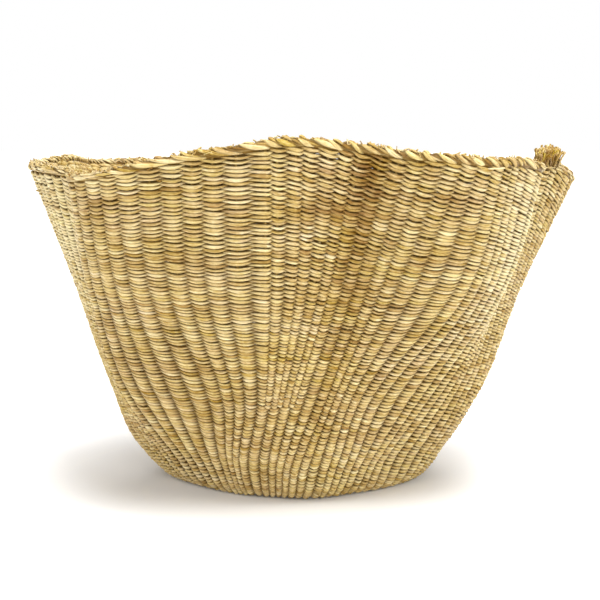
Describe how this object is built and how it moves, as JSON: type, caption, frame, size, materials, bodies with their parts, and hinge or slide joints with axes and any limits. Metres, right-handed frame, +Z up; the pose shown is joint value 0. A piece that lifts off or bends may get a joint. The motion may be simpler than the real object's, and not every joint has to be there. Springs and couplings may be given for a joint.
{
  "type": "belly basket",
  "caption": "Soft round basket twined by hand from straw, with a flat base, a flared ruffled wall and a wavy plaited rim.",
  "frame": {"origin": "on the underside of the flat base, near its middle", "axes": "+Z up through the open mouth, -Y to the front that the picture shows, +X to its right"},
  "size_m": [0.3971, 0.3569, 0.2484],
  "materials": {
    "weft_straw": "dry straw strands, natural, slightly glossy",
    "stake_straw": "pale straw, natural",
    "trimmed_straw": "brown straw ends"
  },
  "bodies": {
    "root": {"base_centre": "stake_straw", "base_start_weft": "weft_straw", "base_inner_weft": "weft_straw", "base_outer_weft": "weft_straw", "turn_weft": "weft_straw", "lower_wall_weft": "weft_straw", "middle_wall_weft": "weft_straw", "upper_wall_weft": "weft_straw", "stake_01": "stake_straw", "stake_02": "stake_straw", "stake_03": "stake_straw", "stake_04": "stake_straw", "stake_05": "stake_straw", "stake_06": "stake_straw", "stake_07": "stake_straw", "stake_08": "stake_straw", "stake_09": "stake_straw", "stake_10": "stake_straw", "stake_11": "stake_straw", "stake_12": "stake_straw", "stake_13": "stake_straw", "stake_14": "stake_straw", "stake_15": "stake_straw", "stake_16": "stake_straw", "stake_17": "stake_straw", "stake_18": "stake_straw", "stake_19": "stake_straw", "stake_20": "stake_straw", "stake_21": "stake_straw", "stake_22": "stake_straw", "stake_23": "stake_straw", "stake_24": "stake_straw", "stake_25": "stake_straw", "stake_26": "stake_straw", "stake_27": "stake_straw", "stake_28": "stake_straw", "stake_29": "stake_straw", "stake_30": "stake_straw", "stake_31": "stake_straw", "stake_32": "stake_straw", "stake_33": "stake_straw", "stake_34": "stake_straw", "stake_35": "stake_straw", "stake_36": "stake_straw", "stake_37": "stake_straw", "stake_38": "stake_straw", "stake_39": "stake_straw", "stake_40": "stake_straw", "stake_41": "stake_straw", "stake_42": "stake_straw", "stake_43": "stake_straw", "stake_44": "stake_straw", "added_stake_1": "stake_straw", "added_stake_2": "stake_straw", "added_stake_3": "stake_straw", "added_stake_4": "stake_straw", "rim_border": "weft_straw", "rim_tail": "trimmed_straw"}
  },
  "joints": []
}
